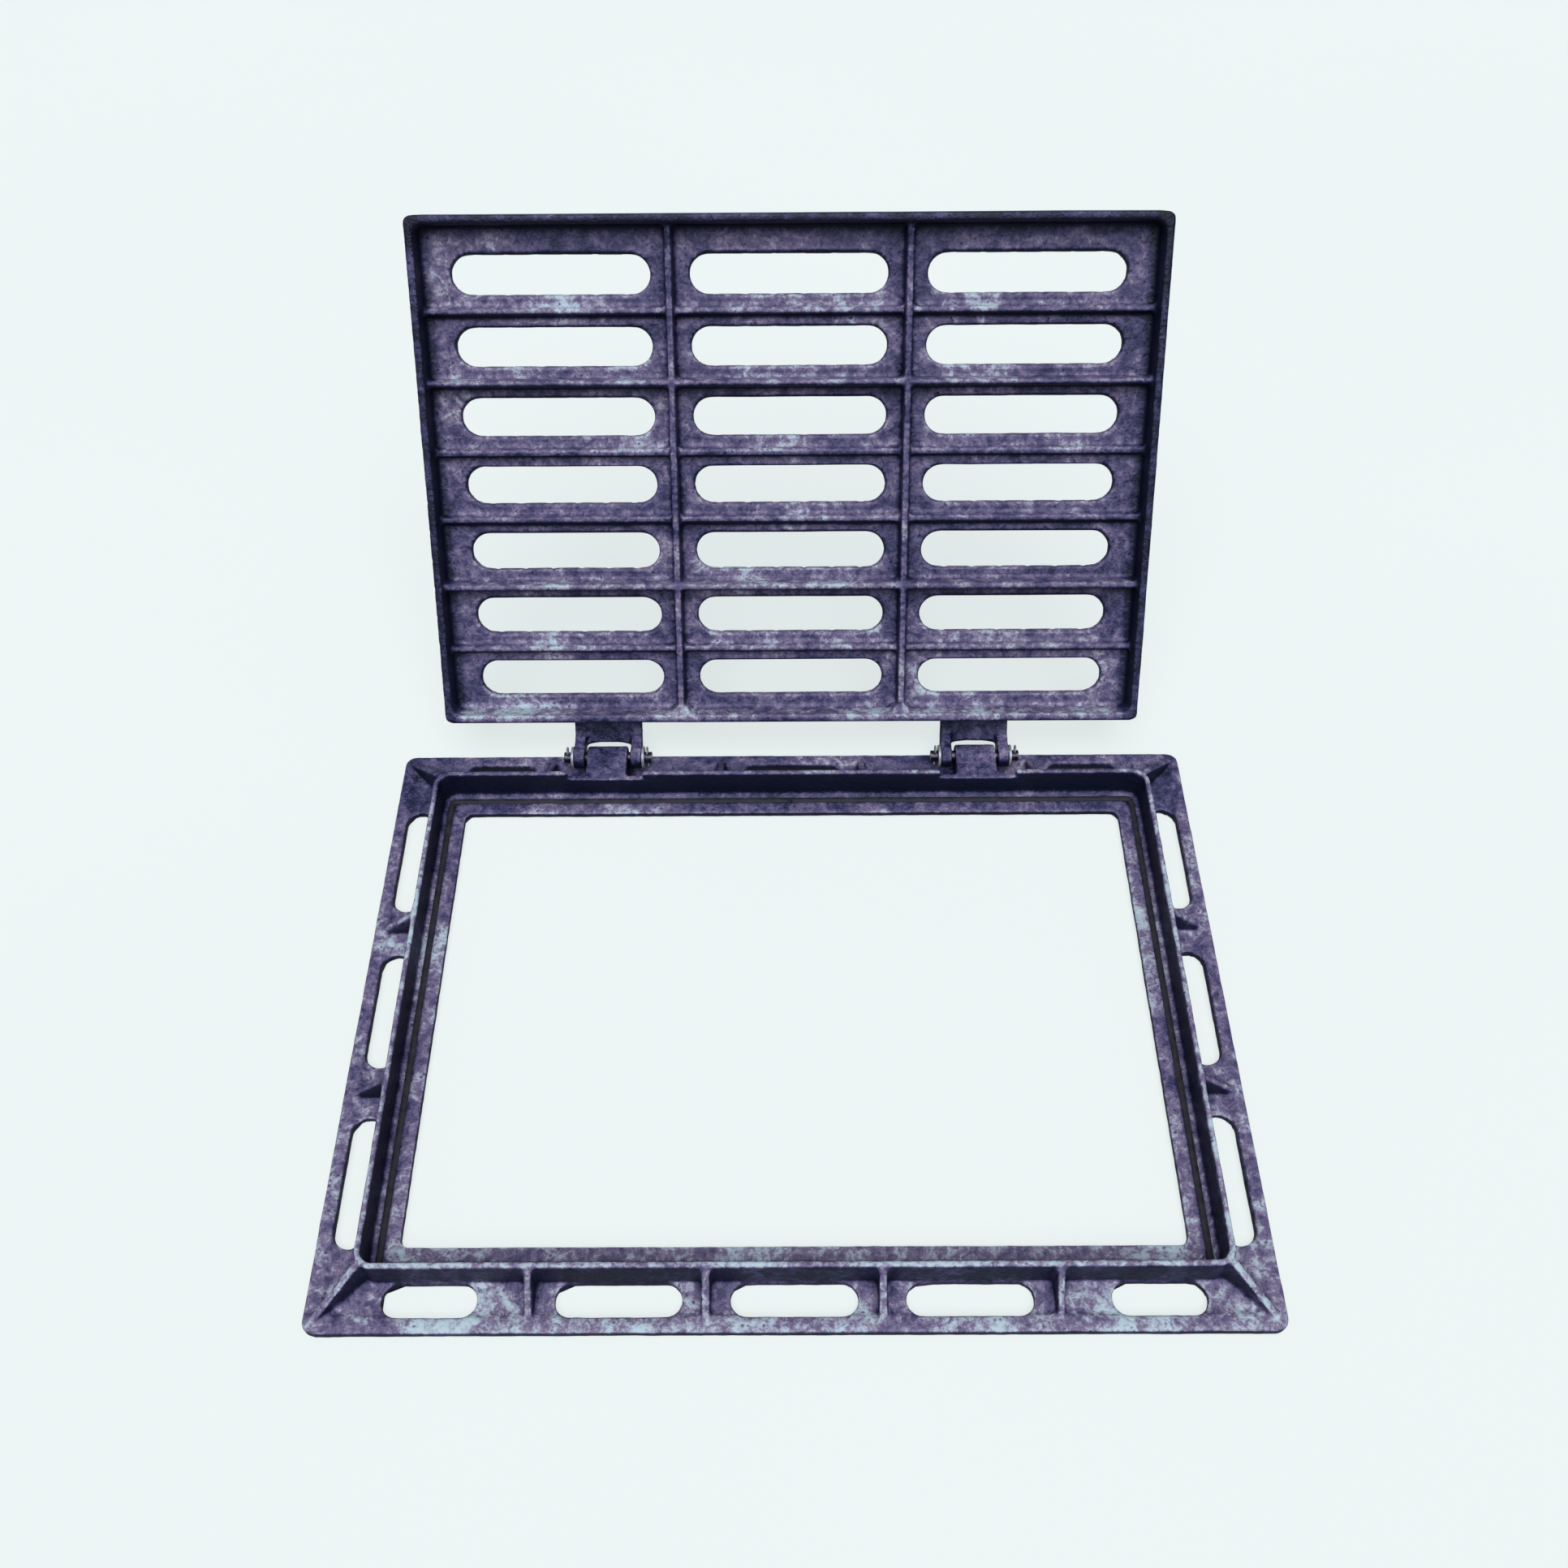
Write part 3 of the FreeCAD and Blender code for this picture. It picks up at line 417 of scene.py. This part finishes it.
def ring_route(half_x, half_y):
    """(point, outward direction) round the cord's outer edge, from one side of its cut to the other."""
    rear = Vector((0.0, 1.0))
    route = [(Vector((CORD_CUT / 2, half_y)), rear)]
    for quarter, (side_x, side_y) in enumerate(((1, 1), (1, -1), (-1, -1), (-1, 1))):
        middle = Vector((side_x * (half_x - CORD_CORNER), side_y * (half_y - CORD_CORNER)))
        for step in range(CORD_ARC_STEPS + 1):
            angle = pi / 2 * (1 - quarter - step / CORD_ARC_STEPS)
            outward = Vector((cos(angle), sin(angle)))
            route.append((middle + outward * CORD_CORNER, outward))
    return [*route, (Vector((-CORD_CUT / 2, half_y)), rear)]


def evenly(route):
    """The route with its long straight stretches divided."""
    for (start, outward), (end, _) in zip(route, route[1:]):
        steps = max(1, round((end - start).length / CORD_STEP))
        for step in range(steps):
            yield start.lerp(end, step / steps), outward
    yield route[-1]


def cord_section(height):
    """(distance inwards, height) round the cord's D."""
    dome = []
    for step in range(CORD_DOME_STEPS + 1):
        angle = pi * step / CORD_DOME_STEPS
        inwards = CORD_WIDTH / 2 * (1 - cos(angle))
        dome.append((inwards, CORD_SHOULDER + (height - CORD_SHOULDER) * sin(angle)))
    foot = [(CORD_WIDTH, CORD_FOOT), (CORD_WIDTH - CORD_FOOT, 0.0), (CORD_FOOT, 0.0), (0.0, CORD_FOOT)]
    return dome + foot


def make_cord(material):
    """The elastic ring in the seat's groove, with a crown that the shut grate has pressed unevenly."""
    low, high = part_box("seat_cushion")
    mesh = bmesh.new()
    rings = []
    travelled = 0.0
    for point, outward in evenly(ring_route(high.x, high.y)):
        dip = CORD_DIP * (0.5 + 0.5 * sin(travelled / CORD_DIP_LENGTH * 2 * pi) * cos(travelled))
        travelled += CORD_STEP
        ring = []
        for inwards, height in cord_section(high.z - low.z - dip):
            x, y = point - outward * inwards
            ring.append(mesh.verts.new((x, y, low.z + height)))
        rings.append(ring)
    for ring, following in zip(rings, rings[1:]):
        for corner in range(len(ring)):
            mesh.faces.new((ring[corner - 1], ring[corner], following[corner], following[corner - 1]))
    mesh.faces.new(rings[0])
    mesh.faces.new(rings[-1])
    bmesh.ops.recalc_face_normals(mesh, faces=mesh.faces)
    data = bpy.data.meshes.new("seat_cord")
    mesh.to_mesh(data)
    mesh.free()
    new_piece("seat_cord", data, material, "frame_assembly", "seat_cushion")


def wire(points):
    """A mesh of round wire along a smooth line with the points as its controls."""
    curve = bpy.data.curves.new("wire", "CURVE")
    curve.dimensions = "3D"
    curve.bevel_depth = WIRE_RADIUS
    curve.bevel_resolution = 3
    curve.use_fill_caps = True
    spline = curve.splines.new("NURBS")
    spline.points.add(len(points) - 1)
    for control, point in zip(spline.points, points):
        control.co = (*point, 1.0)
    spline.order_u = 4
    spline.use_endpoint_u = True
    spline.resolution_u = 6
    holder = bpy.data.objects.new("wire", curve)
    data = bpy.data.meshes.new_from_object(holder)
    bpy.data.objects.remove(holder)
    return data


def make_split_pin(cad_node, pin_node, material):
    """A split pin of bent wire in the space of its plain CAD node."""
    low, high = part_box(cad_node)
    pin_low, pin_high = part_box(pin_node)
    x = (low.x + high.x) / 2
    y = (pin_low.y + pin_high.y) / 2
    eye = high.z - EYE_RADIUS - WIRE_RADIUS
    tip = low.z + WIRE_RADIUS
    # (across, z) up one half of the wire, from a leg's tip to the top of the eye.
    half = [
        (LEG_SPREAD, tip),
        (LEG_SPREAD * 0.55, (tip + low.z + LEG_PART) / 2),
        (WIRE_HALF_PAIR, low.z + LEG_PART),
        (WIRE_HALF_PAIR, pin_low.z),
        (WIRE_HALF_PAIR, pin_high.z),
        (WIRE_HALF_PAIR, eye - EYE_RADIUS * 1.5),
        (EYE_RADIUS * 0.75, eye - EYE_RADIUS * 0.95),
        (EYE_RADIUS * 1.3, eye),
        (EYE_RADIUS * 0.95, eye + EYE_RADIUS * 1.1),
        (0.0, eye + EYE_RADIUS * 1.1),
    ]
    right = [Vector((x, y + across, z)) for across, z in half]
    left = [Vector((x, y - across, z)) for across, z in reversed(half[:-1])]
    name = f"{cad_node}_wire"
    new_piece(name, wire(right + left), material, "frame_assembly", cad_node)


# ---------------------------------------------------------- studio, light, camera


def make_sweep(lowest):
    """A round floor of paper that turns up into a wall, and neither lights the part nor shows in it."""
    profile = [(SWEEP_FLAT, 0.0)]
    for step in range(1, SWEEP_BEND_STEPS + 1):
        angle = pi / 2 * step / SWEEP_BEND_STEPS
        profile.append((SWEEP_FLAT + SWEEP_BEND * sin(angle), SWEEP_BEND * (1 - cos(angle))))
    profile.append((SWEEP_FLAT + SWEEP_BEND, SWEEP_BEND + SWEEP_WALL))
    mesh = bmesh.new()
    rings = []
    for radius, height in profile:
        ring = []
        for segment in range(SWEEP_SEGMENTS):
            angle = 2 * pi * segment / SWEEP_SEGMENTS
            ring.append(mesh.verts.new((radius * cos(angle), radius * sin(angle), height)))
        rings.append(ring)
    mesh.faces.new(rings[0])
    for ring, following in zip(rings, rings[1:]):
        for corner in range(SWEEP_SEGMENTS):
            mesh.faces.new((ring[corner - 1], ring[corner], following[corner], following[corner - 1]))
    bmesh.ops.recalc_face_normals(mesh, faces=mesh.faces)
    for face in mesh.faces:
        face.smooth = True
    data = bpy.data.meshes.new("studio_sweep")
    mesh.to_mesh(data)
    mesh.free()
    data.materials.append(studio_paper())
    sweep = bpy.data.objects.new("studio_sweep", data)
    sweep.location.z = lowest - FLOOR_GAP
    sweep.visible_diffuse = False
    sweep.visible_glossy = False
    bpy.context.scene.collection.objects.link(sweep)


def make_light():
    """A broad key light from above and in front, and a weak even light from all round."""
    lamp = bpy.data.lights.new("key", "SUN")
    lamp.energy = KEY_STRENGTH
    lamp.angle = KEY_SPREAD
    key = bpy.data.objects.new("key", lamp)
    key.rotation_euler.x = KEY_TILT
    bpy.context.scene.collection.objects.link(key)
    world = bpy.data.worlds.new("studio")
    world.use_nodes = True
    background = world.node_tree.nodes["Background"]
    background.inputs["Color"].default_value = (*WORLD_COLOUR, 1.0)
    background.inputs["Strength"].default_value = WORLD_STRENGTH
    bpy.context.scene.world = world


def make_camera():
    data = bpy.data.cameras.new("camera")
    data.lens = CAMERA_LENS
    data.sensor_width = CAMERA_SENSOR
    camera = bpy.data.objects.new("camera", data)
    turn = Matrix.Rotation(CAMERA_TURN, 4, "Z")
    tilt = Matrix.Rotation(pi / 2 - CAMERA_PITCH, 4, "X")
    roll = Matrix.Rotation(CAMERA_ROLL, 4, "Z")
    camera.matrix_world = Matrix.Translation(CAMERA_PLACE) @ turn @ tilt @ roll
    bpy.context.scene.collection.objects.link(camera)
    bpy.context.scene.camera = camera


# ------------------------------------------------------------------------ scene

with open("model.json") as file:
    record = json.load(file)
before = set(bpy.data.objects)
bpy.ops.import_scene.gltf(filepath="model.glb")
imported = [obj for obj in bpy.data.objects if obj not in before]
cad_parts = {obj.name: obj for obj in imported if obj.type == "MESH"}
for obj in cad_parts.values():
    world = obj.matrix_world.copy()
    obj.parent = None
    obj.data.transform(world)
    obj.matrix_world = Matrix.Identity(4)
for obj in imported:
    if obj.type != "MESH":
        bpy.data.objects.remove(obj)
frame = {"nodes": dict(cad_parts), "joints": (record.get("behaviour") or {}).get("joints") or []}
cad_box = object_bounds()
bpy.context.scene.view_settings.view_transform = "Standard"

# The road face looks up when the grate is shut, so in the open part it looks this way.
opened = radians(frame["joints"][0]["range_deg"][1])
grate_road = (0.0, sin(opened), cos(opened))

iron = {
    "frame": cast_iron("frame_iron", FRAME_PLACES, (0.0, 0.0, 1.0), 0.0),
    "grate": cast_iron("grate_iron", GRATE_PLACES, grate_road, GRATE_POLISH),
}
turned = pin_steel()
pressed = washer_steel()
for name, node in frame["nodes"].items():
    if name in iron:
        cast_surface(node, CASTING_KEPT[name])
        give(node, iron[name])
    elif name.startswith("hinge_pin"):
        break_edges(node)
        give(node, turned)
    elif name.startswith("washer"):
        break_edges(node)
        give(node, pressed)
make_cord(cushion_rubber())
for side in ("left", "right"):
    for end in ("outer", "inner"):
        make_split_pin(f"split_pin_{side}_{end}", f"hinge_pin_{side}", pressed)

make_sweep(cad_box[0].z)
make_light()
make_camera()
